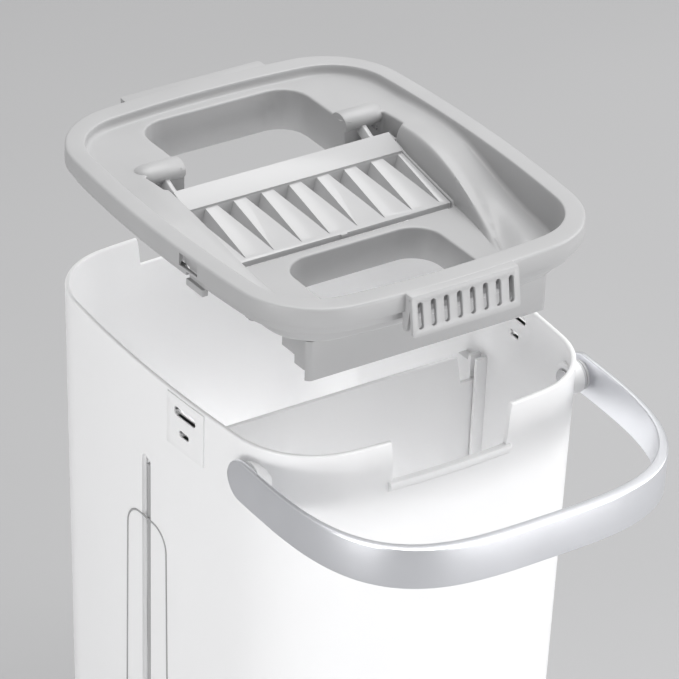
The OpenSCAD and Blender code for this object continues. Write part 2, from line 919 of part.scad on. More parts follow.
// how far out the clip's leg reaches when it is drawn in
function clip_out_x() =
    half_w - wall - slide_gap - side_bow * pow((abs(clip_y) + clip_w / 2) / half_l, 2);

module side_clip() {
    leg_x1 = clip_out_x() - clip_hook_d;
    leg_x0 = leg_x1 - clip_leg_t;
    pad_x1 = half_w - clip_travel - 1.2;
    y0 = clip_y - clip_w / 2;
    y1 = clip_y + clip_w / 2;
    foot_z = clip_leg_z + slide_gap;
    color("darkgrey")
        on_lid() {
            block([leg_x0, y0, foot_z], [leg_x1, y1, clip_pad_z1]);
            block([leg_x0, y0, foot_z], [clip_out_x(), y1, foot_z + clip_hook_h]);
            block([leg_x0, y0, clip_pad_z0], [pad_x1, y1, clip_pad_z1]);
        }
}

// ---- what is drawn ----

bucket_shell();
divider();
mirror([1, 0, 0]) pivot_bush();  // pivot_bush_left
pivot_bush();  // pivot_bush_right
handle_band();
mirror([1, 0, 0]) handle_pin();  // handle_pin_left
handle_pin();  // handle_pin_right
mirror([1, 0, 0]) handle_washer();  // handle_washer_left
handle_washer();  // handle_washer_right
lid_frame();
wringer_skirt();
skirt_screws();
scraper_bar();
scraper_blade();
wash_comb();
mirror([1, 0, 0]) hinge_pin();  // hinge_pin_left
hinge_pin();  // hinge_pin_right
mirror([1, 0, 0]) torsion_spring();  // torsion_spring_left
torsion_spring();  // torsion_spring_right
wringer_plate();
mirror([1, 0, 0]) side_clip();  // side_clip_left
side_clip();  // side_clip_right
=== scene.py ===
import json
import math

import bmesh
import bpy
from mathutils import Matrix, Vector
from mathutils.geometry import delaunay_2d_cdt


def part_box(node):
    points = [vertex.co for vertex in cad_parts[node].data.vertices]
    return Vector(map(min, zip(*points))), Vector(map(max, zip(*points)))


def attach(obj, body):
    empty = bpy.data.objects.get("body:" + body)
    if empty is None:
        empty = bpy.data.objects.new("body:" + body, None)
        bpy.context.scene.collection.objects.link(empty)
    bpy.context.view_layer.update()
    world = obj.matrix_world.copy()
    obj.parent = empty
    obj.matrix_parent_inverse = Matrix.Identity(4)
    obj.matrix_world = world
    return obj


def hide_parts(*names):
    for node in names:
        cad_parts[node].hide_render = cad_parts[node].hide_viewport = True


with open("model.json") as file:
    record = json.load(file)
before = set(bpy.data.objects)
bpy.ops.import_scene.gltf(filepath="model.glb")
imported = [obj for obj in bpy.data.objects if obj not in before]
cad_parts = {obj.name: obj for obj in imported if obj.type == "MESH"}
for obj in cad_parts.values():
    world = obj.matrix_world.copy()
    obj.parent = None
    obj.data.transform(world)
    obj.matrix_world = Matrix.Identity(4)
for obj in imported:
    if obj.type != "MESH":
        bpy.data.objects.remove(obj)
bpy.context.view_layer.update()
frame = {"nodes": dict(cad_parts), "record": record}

MM = 0.001


# ---- sizes in millimetres, taken from the frame ----

def box_mm(node):
    low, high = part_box(node)
    return [v / MM for v in low], [v / MM for v in high]


JOINTS = {j["name"]: j for j in frame["record"]["behaviour"]["joints"]}
PIVOT = [v / MM for v in JOINTS["handle_swing"]["pos_m"]]
HINGE = [v / MM for v in JOINTS["plate_tilt"]["pos_m"]]
RIM_TOP = box_mm("lid_frame")[1][2]
HALF_W = box_mm("lid_frame")[1][0]
BUCKET_H = box_mm("bucket_shell")[1][2]
TAB_OUT = 4.0
HALF_L = box_mm("lid_frame")[1][1] - TAB_OUT
SIDE_BOW = 10.0
CORNER_R = 49.0
WALL = 3.0
DRAFT_X = 4.5
DRAFT_Y = 12.0
HANDLE_HALF_W = box_mm("handle_band")[1][0]

# lid, in heights below the rim's top
RIM_W = 11.0
RIM_END_W = 13.0
BAND_H = 11.0
DECK_REAR = -6.0
DECK_FRONT = -27.0
DECK_Y1 = 54.0
DECK_Y0 = -27.0
WELL_HALF = 71.0
WELL_Y0 = -23.5
WASH_HALF = 52.0
WASH_Y1 = 110.0
DRY_HALF = 47.0
DRY_Y0 = -100.0
DRY_Y1 = -30.0
OPENING_R = 17.0
SKIN = 2.3
NOTCH_HALF = 37.5
TAB_HALF = 34.0


# ---- plan outline shared by the bucket and the lid ----

class Outline:
    """Four bowed sides joined by round corners, as a list of points with their outward directions."""

    def __init__(self, half_w, half_l):
        self.half_w = half_w
        self.half_l = half_l
        self.long_r = (half_l ** 2 + SIDE_BOW ** 2) / (2 * SIDE_BOW)
        self.short_r = (half_w ** 2 + SIDE_BOW ** 2) / (2 * SIDE_BOW)
        c1 = Vector((half_w - self.long_r, 0))
        c2 = Vector((0, half_l - self.short_r))
        r1 = self.long_r - CORNER_R
        r2 = self.short_r - CORNER_R
        d = (c2 - c1).length
        e = (c2 - c1) / d
        x = (d * d + r1 * r1 - r2 * r2) / (2 * d)
        h = math.sqrt(r1 * r1 - x * x)
        self.corner = c1 + e * x + Vector((-e.y, e.x)) * h
        self.c1 = c1
        self.c2 = c2

    def quarter(self, n_long, n_corner, n_short):
        q = self.corner
        t1 = math.atan2(q.y - self.c1.y, q.x - self.c1.x)
        t2 = math.atan2(q.y - self.c2.y, q.x - self.c2.x)
        arcs = ((self.c1, self.long_r, 0, t1, n_long),
                (q, CORNER_R, t1, t2, n_corner),
                (self.c2, self.short_r, t2, math.pi / 2, n_short))
        out = []
        for centre, r, a, b, n in arcs:
            for i in range(n):
                t = a + (b - a) * i / n
                direction = Vector((math.cos(t), math.sin(t)))
                out.append((centre + direction * r, direction))
        out.append((Vector((0, self.half_l)), Vector((0, 1))))
        return out

    def loop(self, n_long=16, n_corner=16, n_short=14):
        q = self.quarter(n_long, n_corner, n_short)

        def flip(p, sx, sy):
            return tuple(Vector((v.x * sx, v.y * sy)) for v in p)

        return (q + [flip(p, -1, 1) for p in q[-2::-1]] + [flip(p, -1, -1) for p in q[1:]]
                + [flip(p, 1, -1) for p in q[-2:0:-1]])


def ease(t):
    u = max(0.0, min(1.0, t))
    return u * u * (3 - 2 * u)


def between(points, x):
    """Smooth curve through (place, value) pairs sorted by place."""
    if x <= points[0][0]:
        return points[0][1]
    for (x0, v0), (x1, v1) in zip(points, points[1:]):
        if x <= x1:
            i = points.index((x0, v0))
            before = points[max(i - 1, 0)]
            after = points[min(i + 2, len(points) - 1)]
            m0 = (v1 - before[1]) / max(x1 - before[0], 1e-6)
            m1 = (after[1] - v0) / max(after[0] - x0, 1e-6)
            h = x1 - x0
            t = (x - x0) / h
            return ((2 * t ** 3 - 3 * t ** 2 + 1) * v0 + (t ** 3 - 2 * t ** 2 + t) * h * m0
                    + (3 * t ** 2 - 2 * t ** 3) * v1 + (t ** 3 - t ** 2) * h * m1)
    return points[-1][1]


# ---- mesh making ----

def to_object(name, bm, smooth_deg=35.0):
    """A millimetre bmesh as an object in metres, smooth below the given edge angle."""
    mesh = bpy.data.meshes.new(name)
    bmesh.ops.scale(bm, vec=(MM, MM, MM), verts=bm.verts)
    bm.to_mesh(mesh)
    bm.free()
    mesh.shade_smooth()
    mesh.set_sharp_from_angle(angle=math.radians(smooth_deg))
    obj = bpy.data.objects.new(name, mesh)
    bpy.context.scene.collection.objects.link(obj)
    return obj


def outward_object(name, bm, smooth_deg=35.0):
    """The same, with every face turned outward first."""
    bmesh.ops.recalc_face_normals(bm, faces=bm.faces)
    return to_object(name, bm, smooth_deg)


def apply_modifiers(obj, smooth_deg=35.0):
    """Turns the object's modifiers into mesh."""
    graph = bpy.context.evaluated_depsgraph_get()
    mesh = bpy.data.meshes.new_from_object(obj.evaluated_get(graph))
    obj.modifiers.clear()
    old = obj.data
    obj.data = mesh
    bpy.data.meshes.remove(old)
    mesh.shade_smooth()
    mesh.set_sharp_from_angle(angle=math.radians(smooth_deg))
    return obj


def add_rows(bm, rows, closed=True):
    """Quads between rows that have equal numbers of points."""
    verts = [[bm.verts.new(p) for p in row] for row in rows]
    for a, b in zip(verts, verts[1:]):
        n = len(a)
        for i in range(n if closed else n - 1):
            j = (i + 1) % n
            bm.faces.new((a[i], a[j], b[j], b[i]))
    return verts


def add_prism(bm, outline, low, high, axis="z"):
    """Closed prism of a 2D outline, along z, x or y."""
    place = {"z": lambda u, v, w: (u, v, w),
             "x": lambda u, v, w: (w, u, v),
             "y": lambda u, v, w: (u, w, v)}[axis]
    a = [bm.verts.new(place(u, v, low)) for u, v in outline]
    b = [bm.verts.new(place(u, v, high)) for u, v in outline]
    n = len(a)
    bm.faces.new(a[::-1])
    bm.faces.new(b)
    for i in range(n):
        bm.faces.new((a[i], a[(i + 1) % n], b[(i + 1) % n], b[i]))


def rounded(x0, y0, x1, y1, r, n=6):
    """Rounded rectangle as a counterclockwise outline."""
    corners = ((x1 - r, y0 + r, -90), (x1 - r, y1 - r, 0), (x0 + r, y1 - r, 90), (x0 + r, y0 + r, 180))
    out = []
    for cx, cy, start in corners:
        for i in range(n + 1):
            t = math.radians(start + 90 * i / n)
            out.append((cx + r * math.cos(t), cy + r * math.sin(t)))
    return out


def circle(u, v, r, n):
    """Round outline with n points."""
    turns = [2 * math.pi * k / n for k in range(n)]
    return [(u + r * math.cos(a), v + r * math.sin(a)) for a in turns]


def add_capped_rows(bm, rows):
    """Closed solid through rows of points, with flat ends."""
    verts = add_rows(bm, rows)
    bm.faces.new(verts[0][::-1])
    bm.faces.new(verts[-1])


def fillet_corners(points, n=5):
    """Rounds the corners of an outline given as (x, y, radius)."""
    out = []
    count = len(points)
    for i, (x, y, r) in enumerate(points):
        p = Vector((x, y))
        if r <= 0:
            out.append((x, y))
            continue
        a = (Vector(points[i - 1][:2]) - p).normalized()
        b = (Vector(points[(i + 1) % count][:2]) - p).normalized()
        half = a.angle(b) / 2
        d = r / math.tan(half)
        centre = p + (a + b).normalized() * (r / math.sin(half))
        start = p + a * d - centre
        end = p + b * d - centre
        sweep = start.angle_signed(end)
        for k in range(n + 1):
            t = -sweep * k / n
            c, s = math.cos(t), math.sin(t)
            out.append(tuple(centre + Vector((start.x * c - start.y * s, start.x * s + start.y * c))))
    return out


def offset_outline(points, d):
    """Moves a counterclockwise outline outward by d along its corner directions."""
    out = []
    n = len(points)
    for i in range(n):
        p = Vector(points[i])
        a = (p - Vector(points[i - 1]))
        b = (Vector(points[(i + 1) % n]) - p)
        na = Vector((a.y, -a.x)).normalized()
        nb = Vector((b.y, -b.x)).normalized()
        m = (na + nb).normalized()
        out.append(tuple(p + m * (d / max(m.dot(na), 0.3))))
    return out


def bevel(obj, width, segments=2, angle=30.0):
    mod = obj.modifiers.new("edges", "BEVEL")
    mod.width = width * MM
    mod.segments = segments
    mod.limit_method = "ANGLE"
    mod.angle_limit = math.radians(angle)
    mod.harden_normals = False
    return obj


def cut(obj, tool_bm, name):
    """Takes a closed millimetre bmesh away from an object."""
    tool = outward_object(name, tool_bm)
    mod = obj.modifiers.new("cut", "BOOLEAN")
    mod.operation = "DIFFERENCE"
    mod.solver = "EXACT"
    mod.object = tool
    apply_modifiers(obj)
    bpy.data.objects.remove(tool)
    return obj


def join(name, objects, smooth_deg=35.0):
    """One object from the meshes of several."""
    bm = bmesh.new()
    for o in objects:
        bm.from_mesh(o.data)
    mesh = bpy.data.meshes.new(name)
    bm.to_mesh(mesh)
    bm.free()
    for o in objects:
        bpy.data.objects.remove(o)
    mesh.shade_smooth()
    mesh.set_sharp_from_angle(angle=math.radians(smooth_deg))
    obj = bpy.data.objects.new(name, mesh)
    bpy.context.scene.collection.objects.link(obj)
    return obj


def finish_piece(obj, material, body, nodes=()):
    obj.data.materials.clear()
    obj.data.materials.append(material)
    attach(obj, body)
    if nodes:
        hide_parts(*nodes)
    return obj


# ---- materials ----

def new_material(name):
    material = bpy.data.materials.new(name)
    material.use_nodes = True
    return material, material.node_tree, material.node_tree.nodes["Principled BSDF"]


def node_link(tree, kind, **inputs):
    node = tree.nodes.new(kind)
    for key, value in inputs.items():
        node.inputs[key.replace("_", " ")].default_value = value
    return node


def two_tones(tree, shader, pattern, light, dark):
    """Base colour that drifts between two tones with a pattern."""
    ramp = tree.nodes.new("ShaderNodeValToRGB")
    ramp.color_ramp.elements[0].position = 0.3
    ramp.color_ramp.elements[1].position = 0.7
    ramp.color_ramp.elements[0].color = (*dark, 1)
    ramp.color_ramp.elements[1].color = (*light, 1)
    tree.links.new(pattern.outputs["Fac"], ramp.inputs["Fac"])
    tree.links.new(ramp.outputs["Color"], shader.inputs["Base Color"])


def uneven_gloss(tree, shader, pattern, low, high):
    gloss = tree.nodes.new("ShaderNodeMapRange")
    gloss.inputs["To Min"].default_value = low
    gloss.inputs["To Max"].default_value = high
    tree.links.new(pattern.outputs["Fac"], gloss.inputs["Value"])
    tree.links.new(gloss.outputs["Result"], shader.inputs["Roughness"])


def grain(tree, shader, pattern, strength, depth_mm):
    bump = node_link(tree, "ShaderNodeBump", Strength=strength, Distance=depth_mm * MM)
    tree.links.new(pattern.outputs["Fac"], bump.inputs["Height"])
    tree.links.new(bump.outputs["Normal"], shader.inputs["Normal"])


def plastic(name, light, dark, roughness, grain_mm, grain_strength,
            tone_mm=45.0, coat=0.0, subsurface=0.0):
    """Moulded plastic: two close tones in broad patches, a fine grain and uneven gloss."""
    material, tree, shader = new_material(name)
    place = tree.nodes.new("ShaderNodeTexCoord")
    broad = node_link(tree, "ShaderNodeTexNoise", Scale=1 / (tone_mm * MM), Detail=3.0, Roughness=0.55)
    fine = node_link(tree, "ShaderNodeTexNoise", Scale=1 / (grain_mm * MM), Detail=2.0, Roughness=0.6)
    tree.links.new(place.outputs["Object"], broad.inputs["Vector"])
    tree.links.new(place.outputs["Object"], fine.inputs["Vector"])
    two_tones(tree, shader, broad, light, dark)
    uneven_gloss(tree, shader, broad, roughness - 0.05, roughness + 0.06)
    grain(tree, shader, fine, grain_strength, 0.15)
    shader.inputs["Coat Weight"].default_value = coat
    shader.inputs["Coat Roughness"].default_value = 0.12
    if subsurface:
        shader.inputs["Subsurface Weight"].default_value = subsurface
        shader.inputs["Subsurface Radius"].default_value = (1.0, 1.0, 1.0)
        shader.inputs["Subsurface Scale"].default_value = 1.5 * MM
    return material


def metal(name, light, dark, roughness, brush_along, brush_mm, strength):
    """Brushed metal whose fine lines run along one axis."""
    material, tree, shader = new_material(name)
    place = tree.nodes.new("ShaderNodeTexCoord")
    stretch = tree.nodes.new("ShaderNodeMapping")
    across = 1 / (brush_mm * MM)
    scale = [across, across, across]
    scale["xyz".index(brush_along)] = across / 60
    stretch.inputs["Scale"].default_value = scale
    tree.links.new(place.outputs["Object"], stretch.inputs["Vector"])
    lines = node_link(tree, "ShaderNodeTexNoise", Scale=1.0, Detail=4.0, Roughness=0.6)
    tree.links.new(stretch.outputs["Vector"], lines.inputs["Vector"])
    broad = node_link(tree, "ShaderNodeTexNoise", Scale=22.0, Detail=2.0, Roughness=0.5)
    tree.links.new(place.outputs["Object"], broad.inputs["Vector"])
    two_tones(tree, shader, broad, light, dark)
    uneven_gloss(tree, shader, lines, roughness - 0.05, roughness + 0.07)
    grain(tree, shader, lines, strength, 0.05)
    shader.inputs["Metallic"].default_value = 1.0
    return material


MATERIALS = {
    "bucket_plastic": plastic(
        "bucket_white", (0.9, 0.9, 0.905), (0.885, 0.885, 0.89), 0.3, 1.4, 0.04,
        tone_mm=160.0, coat=0.2, subsurface=0.25),
    "divider_plastic": plastic(
        "divider_white", (0.92, 0.92, 0.925), (0.9, 0.9, 0.905), 0.35, 1.2, 0.04,
        tone_mm=120.0, subsurface=0.25),
    "lid_plastic": plastic(
        "lid_grey", (0.43, 0.43, 0.434), (0.41, 0.41, 0.414), 0.42, 0.7, 0.1, coat=0.1),
    "skirt_plastic": plastic(
        "skirt_grey", (0.4, 0.4, 0.404), (0.38, 0.38, 0.384), 0.45, 0.7, 0.12),
    "plate_plastic": plastic(
        "plate_white", (0.48, 0.48, 0.485), (0.46, 0.46, 0.465), 0.3, 0.9, 0.05, coat=0.2),
    "bush_plastic": plastic(
        "bush_grey", (0.66, 0.66, 0.67), (0.62, 0.62, 0.63), 0.38, 0.6, 0.1),
    "blade_rubber": plastic(
        "blade_rubber", (0.1, 0.1, 0.105), (0.07, 0.07, 0.075), 0.65, 0.5, 0.25),
    "handle_metal": metal(
        "handle_silver", (0.86, 0.87, 0.9), (0.81, 0.82, 0.85), 0.3, "x", 0.35, 0.08),
    "pin_steel": metal(
        "pin_steel", (0.66, 0.66, 0.67), (0.58, 0.58, 0.59), 0.25, "x", 0.3, 0.08),
}


def paint_cad():
    """Gives every shown CAD node the material of its slot."""
    for part in frame["record"]["subparts"]:
        obj = frame["nodes"][part["node"]]
        material = MATERIALS[part["material_slot"]]
        if not obj.material_slots:
            obj.data.materials.append(material)
        for place in obj.material_slots:
            place.material = material


# ---- bucket ----

FRONT_NOTCH_Z = 335.0
REAR_NOTCH_Z = 343.0
GROOVE_R = 4.5
GROOVE_Z0 = 18.0
GROOVE_Z1 = 302.0
EAR_SLOTS = ((-49, -29, 347.4, 353), (-43, -34, 336, 340))
PIVOT_BOSS_R = 9.5
PIVOT_HOLE_R = 6.4
# ear pad, groove bead and divider guides: y, y, z, z, depth in the wall, height over its face
WALL_PADS = ((-56, -22, 327, 358.8, 2, 0.9), (-5.8, 5.8, 14, 306, 9, -2.4),
             (-14.4, -11.9, 4, 311, 10, -1.5), (-8.1, -5.6, 4, 311, 10, -1.5))
# inset and height, up the outside of the foot and down the inside to the floor
FOOT = ((6.0, 0), (4.0, 0.25), (2.2, 1.2), (0.9, 2.8), (0.25, 5), (0, 8))
FLOOR = ((WALL, 11), (WALL + 0.4, 8.5), (WALL + 1.5, 6.2), (WALL + 3.5, 4.4), (WALL + 6, 3.5))


def notch_drop(x, depth):
    """How far the rim falls at x, with round corners at the notch's top and bottom."""
    reach = 1.2
    d = (abs(x) - NOTCH_HALF) / reach
    return depth * (1 - ease((d + 1) / 2))


def bucket_columns():
    """Outline points, with extra ones where the notches step down."""
    base = Outline(HALF_W, HALF_L)
    points = base.loop(20, 18, 18)
    extra = []
    for sign_y in (-1, 1):
        for sign_x in (-1, 1):
            for k in range(-4, 5):
                x = sign_x * (NOTCH_HALF + k * 0.4)
                y = base.c2.y + math.sqrt(base.short_r ** 2 - x * x)
                direction = (Vector((x, y)) - base.c2).normalized()
                extra.append((Vector((x, sign_y * y)), Vector((direction.x, sign_y * direction.y))))
    near = lambda p: any((p[0] - e[0]).length < 1.6 for e in extra)
    points = [p for p in points if not near(p)] + extra
    return sorted(points, key=lambda p: math.atan2(p[0].y, p[0].x) % (2 * math.pi))


def bucket_wall(bm):
    columns = bucket_columns()

    def row(inset, height, follow):
        """follow is how much of the notch's drop this row takes."""
        out = []
        for p, n in columns:
            depth = BUCKET_H - (REAR_NOTCH_Z if p.y > 0 else FRONT_NOTCH_Z)
            z = height - (follow * notch_drop(p.x, depth) if abs(n.y) > 0.8 else 0.0)
            s = 1 - z / BUCKET_H
            narrowed = Vector((p.x * (1 - DRAFT_X * s / HALF_W), p.y * (1 - DRAFT_Y * s / HALF_L)))
            q = narrowed - n * inset
            out.append((q.x, q.y, z))
        return out

    lip = 1.2
    foot_top = FOOT[-1][1]
    floor_top = FLOOR[0][1]
    rows = [row(inset, z, 0) for inset, z in FOOT]
    for k in range(1, 24):
        t = k / 24
        rows.append(row(0, foot_top + (BUCKET_H - lip - foot_top) * t, ease((t - 0.75) / 0.25)))
    for k in range(7):
        a = math.pi / 2 * k / 6
        rows.append(row(lip * (1 - math.cos(a)), BUCKET_H - lip + lip * math.sin(a), 1))
    for k in range(7):
        a = math.pi / 2 * k / 6
        rows.append(row(WALL - lip * (1 - math.sin(a)), BUCKET_H - lip + lip * math.cos(a), 1))
    for k in range(23, 0, -1):
        t = k / 24
        rows.append(row(WALL, floor_top + (BUCKET_H - lip - floor_top) * t, ease((t - 0.75) / 0.25)))
    rows += [row(inset, z, 0) for inset, z in FLOOR]
    add_capped_rows(bm, rows)


def wall_x(y, z):
    """Outer face of the right long side at a place."""
    base = Outline(HALF_W, HALF_L)
    return base.c1.x + math.sqrt(base.long_r ** 2 - y * y) - DRAFT_X * (1 - z / BUCKET_H)


def wall_line(side, places, outward):
    """Points that follow the long side's outer face, from (y, z) places."""
    return [(side * (wall_x(y, z) + outward), y, z) for y, z in places]


def add_tube(bm, path, radius, sides=10):
    """Closed round tube along a list of points."""
    rows = []
    for i, p in enumerate(path):
        ahead = Vector(path[min(i + 1, len(path) - 1)]) - Vector(path[max(i - 1, 0)])
        ahead.normalize()
        side = ahead.cross(Vector((1, 0, 0))).normalized()
        up = side.cross(ahead)
        rows.append([Vector(p) + radius * (side * c + up * s) for c, s in circle(0, 0, 1, sides)])
    add_capped_rows(bm, rows)


def arch_path():
    """Line that frames the groove, from one foot over the top to the other, as (y, z)."""
    top = 266.0
    half = 20.0
    foot = 27.0
    r = 13.0
    left = [(-half - 3 * (1 - t), foot + (top - r - foot) * t) for t in [k / 30 for k in range(30)]]
    turns = [math.pi / 2 * k / 8 for k in range(9)]
    arc = [(-half + r - r * math.cos(a), top - r + r * math.sin(a)) for a in turns]
    path = left + arc
    return path + [(-y, z) for y, z in path[::-1]]


def add_groove(bm, side):
    """Upright round groove with a dome at its upper end."""
    steps = 40
    heights = [GROOVE_Z0 + (GROOVE_Z1 - GROOVE_Z0) * k / steps for k in range(steps + 1)]
    path = wall_line(side, [(0, z) for z in heights], 0.3)
    rows = [[(u, v, z) for u, v in circle(x, y, GROOVE_R, 24)] for x, y, z in path]
    x, y, z = path[-1]
    for j in range(1, 6):
        a = math.pi / 2 * j / 6
        ring = circle(x, y, GROOVE_R * math.cos(a), 24)
        rows.append([(u, v, z + GROOVE_R * math.sin(a)) for u, v in ring])
    add_capped_rows(bm, rows)


def add_ear_slots(bm, side):
    low, high = sorted((side * (HALF_W - 8), side * (HALF_W + 6)))
    for y0, y1, z0, z1 in EAR_SLOTS:
        add_prism(bm, rounded(y0, z0, y1, z1, (z1 - z0) * 0.42), low, high, "x")


def bucket_body():
    """Wall with the grooves, the engraved arches and the ear slots cut in."""
    bm = bmesh.new()
    bucket_wall(bm)
    body = to_object("bucket_wall", bm)
    grooves = bmesh.new()
    for side in (-1, 1):
        add_groove(grooves, side)
    cut(body, grooves, "groove_tool")
    lines = bmesh.new()
    for side in (-1, 1):
        add_tube(lines, wall_line(side, arch_path(), 0.1), 0.75)
        add_ear_slots(lines, side)
    cut(body, lines, "line_tool")
    return body


def bucket_pads():
    """Ear pads, groove beads, divider guides and pivot bosses."""
    bm = bmesh.new()
    for side in (-1, 1):
        for pad in WALL_PADS:
            add_wall_pad(bm, side, *pad)
        low, high = sorted((side * 97.6, side * 105.0))
        add_prism(bm, circle(PIVOT[1], PIVOT[2], PIVOT_BOSS_R, 48), low, high, "x")
    pads = outward_object("bucket_pads", bm)
    bevel(pads, 0.5, 2, 50)
    apply_modifiers(pads)
    tool = bmesh.new()
    for side in (-1, 1):
        add_ear_slots(tool, side)
        low, high = sorted((side * 90, side * 115))
        add_prism(tool, circle(PIVOT[1], PIVOT[2], PIVOT_HOLE_R, 40), low, high, "x")
        add_tube(tool, wall_line(side, [(0, GROOVE_Z0), (0, GROOVE_Z1)], 0.3), GROOVE_R, 24)
    cut(pads, tool, "pad_tool")
    return pads


def build_bucket():
    bucket = join("bucket", [bucket_body(), bucket_pads(), front_sill()], 32)
    finish_piece(bucket, MATERIALS["bucket_plastic"], "bucket", ("bucket_shell",))


def build_groove_lines():
    """Grey strips laid in the bottoms of the engraved arches and the grooves, so that these show as thin
    dark lines.
    """
    bm = bmesh.new()
    for side in (-1, 1):
        add_tube(bm, wall_line(side, arch_path(), -0.05), 0.5)
        add_tube(bm, wall_line(side, [(0, z) for z in (20, 160, 300)], -2.6), 1.7, 16)
    groove_lines = outward_object("bucket_groove_lines", bm)
    finish_piece(groove_lines, MATERIALS["skirt_plastic"], "bucket")


def add_wall_pad(bm, side, y0, y1, z0, z1, inner, outer):
    """Block that follows the long side's wall, from inner inside its face to outer past it."""
    rows = []
    steps = 8
    for z in [z0 + (z1 - z0) * k / 6 for k in range(7)]:
        ys = [y0 + (y1 - y0) * k / steps for k in range(steps + 1)]
        front = wall_line(side, [(y, z) for y in ys], outer)
        back = wall_line(side, [(y, z) for y in ys[::-1]], -inner)
        rows.append(front + back)
    add_capped_rows(bm, rows)


def front_sill():
    """Ledge that stands out under the front notch."""
    base = Outline(HALF_W, HALF_L)
    bm = bmesh.new()
    profile = ((-1.0, 6), (0.2, 6), (1.4, 4.4), (2.4, 3.6), (2.6, 2), (2.3, 0.6), (1.8, 0), (-1.0, 0))
    steps = 24
    rows = []
    for out, below in profile:
        z = FRONT_NOTCH_Z - below
        row = []
        for k in range(steps + 1):
            x = -NOTCH_HALF - 1.5 + (2 * NOTCH_HALF + 3) * k / steps
            y = base.c2.y + math.sqrt(base.short_r ** 2 - x * x) - DRAFT_Y * (1 - z / BUCKET_H)
            row.append((x, -(y + out), z))
        rows.append(row)
    add_rows(bm, rows + [rows[0]], closed=False)
    bmesh.ops.remove_doubles(bm, verts=bm.verts, dist=0.001)
    bmesh.ops.holes_fill(bm, edges=bm.edges, sides=0)
    return outward_object("front_sill", bm)


# ---- handle ----

HANDLE_TAIL = 12.0
HANDLE_ARM_T = 3.0
HANDLE_BAR_T = 7.0
HANDLE_EDGE_R = 0.9
HANDLE_SAG_DEG = 2.0


def handle_path(half_w, reach, steps):
    """Half of a rounded rectangle that runs from one pivot to the other."""
    power = 3.4
    out = []
    for i in range(steps + 1):
        t = math.pi * i / steps
        c = math.cos(t)
        x = half_w * math.copysign(abs(c) ** (2 / power), c)
        y = -reach * abs(math.sin(t)) ** (2 / power)
        out.append(Vector((x, y)))
    return out


def handle_face(half_w, reach):
    """One face of the band in plan, with straight tails behind the pivots."""
    tail = [HANDLE_TAIL * math.sin(math.pi / 2 * k / 10) for k in range(10, 0, -1)]
    right = [Vector((half_w, y)) for y in tail]
    left = [Vector((-half_w, y)) for y in tail[::-1]]
    return right + handle_path(half_w, reach, 192) + left


def band_section(o, i, height):
    """Ring round the band between an outer and an inner point, with rounded edges."""
    across = (o - i).normalized()
    e = min(HANDLE_EDGE_R, height * 0.5)
    out = o - across * e
    back = i + across * e
    corners = ((out, height - e, 0), (back, height - e, 90),
               (back, -height + e, 180), (out, -height + e, 270))
    ring = []
    for centre, z, start in corners:
        for k in range(5):
            a = math.radians(start + 22.5 * k)
            p = centre + across * e * math.cos(a)
            ring.append((p.x, p.y, z + e * math.sin(a)))
    return ring


def build_handle():
    low = box_mm("handle_band")[0]
    reach = PIVOT[1] - low[1] - 0.5
    outer = handle_face(HANDLE_HALF_W, reach)
    inner = handle_face(HANDLE_HALF_W - HANDLE_ARM_T, reach - HANDLE_BAR_T)
    rows = []
    for o, i in zip(outer, inner):
        behind = max(0.0, o.y)
        height = math.sqrt(max(HANDLE_TAIL ** 2 - behind * behind, 0.04)) if behind > 0 else HANDLE_TAIL
        rows.append(band_section(o, i, height))
    bm = bmesh.new()
    add_capped_rows(bm, rows)
    bmesh.ops.recalc_face_normals(bm, faces=bm.faces)
    turn = Matrix.Rotation(math.radians(HANDLE_SAG_DEG), 4, "X")
    bmesh.ops.transform(bm, verts=bm.verts, matrix=Matrix.Translation(PIVOT) @ turn)
    handle = to_object("handle_band_smooth", bm, 40)
    finish_piece(handle, MATERIALS["handle_metal"], "handle", ("handle_band",))


# ---- lid ----

def deck_z(y):
    return DECK_REAR + (DECK_FRONT - DECK_REAR) * ease((DECK_Y1 - y) / (DECK_Y1 - DECK_Y0))


# curves along the lid, as (y, height or half width)
CHEEK_TOP = [(-80, -27.0), (-74, -26.6), (-64, -25.0), (-50, -21.2), (-30, -15.4), (-12, -10.2),
             (4, -6.6), (21, -4.6), (40, -4.4), (56, -5.4), (70, -6.0), (90, -6.0)]
CHEEK_IN = [(-80, 63.0), (-72, 65.5), (-50, 70.5), (-23, 74.6), (0, 76.6), (20, 77.0),
            (40, 75.6), (58, 73.0), (90, 72)]
TROUGH = [(-112, -27.0), (-96, -25.5), (-80, -22.5), (-55, -20.5), (-30, -16.2), (-10, -10.6),
          (5, -6.8), (20, -5.4), (40, -5.2), (56, -5.6), (66, -6.0)]
CHEEK_OUT = [(-80, 64.0), (-72, 67.5), (-50, 76.5), (-35, 81.0), (-12, 86.5), (21, 89.5),
             (40, 90.0), (58, 90.0), (90, 90)]
TROUGH_FALL = [(-79, 16.0), (-50, 10.0), (-20, 9.0)]
PLATE_TOP = [(-24, -26.5), (-22, -25.5), (25, -16.5), (26, -16), (40, -11.5), (42, -9)]
TROUGH_Y1 = 66
POCKET_HALF = 77.5
POCKET_Y0 = 36.0
POCKET_Y1 = 56.0


